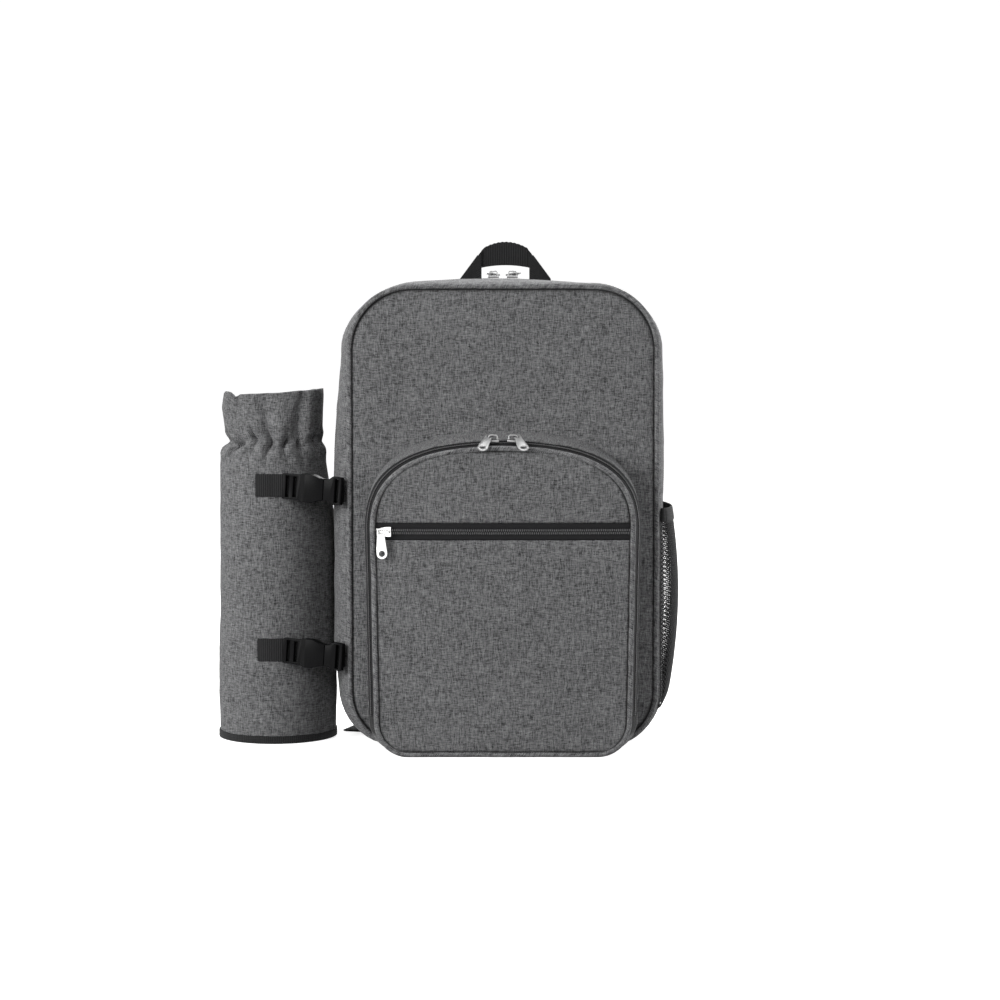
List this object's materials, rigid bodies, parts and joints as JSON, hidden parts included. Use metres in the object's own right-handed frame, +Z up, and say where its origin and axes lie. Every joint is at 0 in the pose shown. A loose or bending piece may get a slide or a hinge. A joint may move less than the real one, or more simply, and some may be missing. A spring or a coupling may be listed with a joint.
{
  "type": "cooler backpack",
  "caption": "Soft insulated cooler backpack with an arched front pocket, net side pocket, top handle, shoulder straps and a round bottle holder buckled to its side.",
  "frame": {"origin": "middle of the main body's flat foot, on the floor it stands on", "axes": "+Z up, -Y out of the front pocket, +X towards the net side pocket, which is on the right seen from the front"},
  "size_m": [0.4142, 0.2854, 0.448],
  "materials": {
    "melange": "two-tone woven polyester, matt",
    "piping": "the body's cloth round a cord, matt",
    "strap_cloth": "two-tone woven polyester, padded",
    "webbing": "ribbed polypropylene webbing, matt",
    "zip_tape": "woven zip tape with a nylon coil",
    "net": "knitted net, matt",
    "nickel": "die-cast, nickel plated",
    "buckle": "moulded acetal, satin"
  },
  "bodies": {
    "root": {"front_panel": "melange", "back_panel": "melange", "front_piping": "piping", "rear_piping": "piping", "base_gusset": "melange", "top_gusset_front": "melange", "top_gusset_rear": "melange", "main_zipper": "zip_tape", "pocket_gusset": "melange", "pocket_base_gusset": "melange", "pocket_zipper": "zip_tape", "pocket_piping": "piping", "pocket_upper_panel": "melange", "pocket_lower_panel": "melange", "pocket_front_zipper": "zip_tape", "main_slider_left": "nickel", "main_slider_right": "nickel", "main_pull_left": "nickel", "main_pull_right": "nickel", "pocket_slider_left": "nickel", "pocket_slider_right": "nickel", "pocket_pull_left": "nickel", "pocket_pull_right": "nickel", "front_zip_slider": "nickel", "front_zip_pull": "nickel", "handle": "webbing", "mesh_net": "net", "mesh_binding": "webbing", "bottle_sleeve": "melange", "bottle_binding": "webbing", "upper_patch": "webbing", "upper_buckle_socket": "buckle", "upper_buckle_clip": "buckle", "upper_tab": "webbing", "lower_patch": "webbing", "lower_buckle_socket": "buckle", "lower_buckle_clip": "buckle", "lower_tab": "webbing", "shoulder_strap_left": "strap_cloth", "shoulder_strap_right": "strap_cloth", "strap_adjuster_left": "buckle", "strap_adjuster_right": "buckle", "strap_webbing_left": "webbing", "strap_webbing_right": "webbing", "strap_tail_left": "webbing", "strap_tail_right": "webbing"}
  },
  "joints": []
}
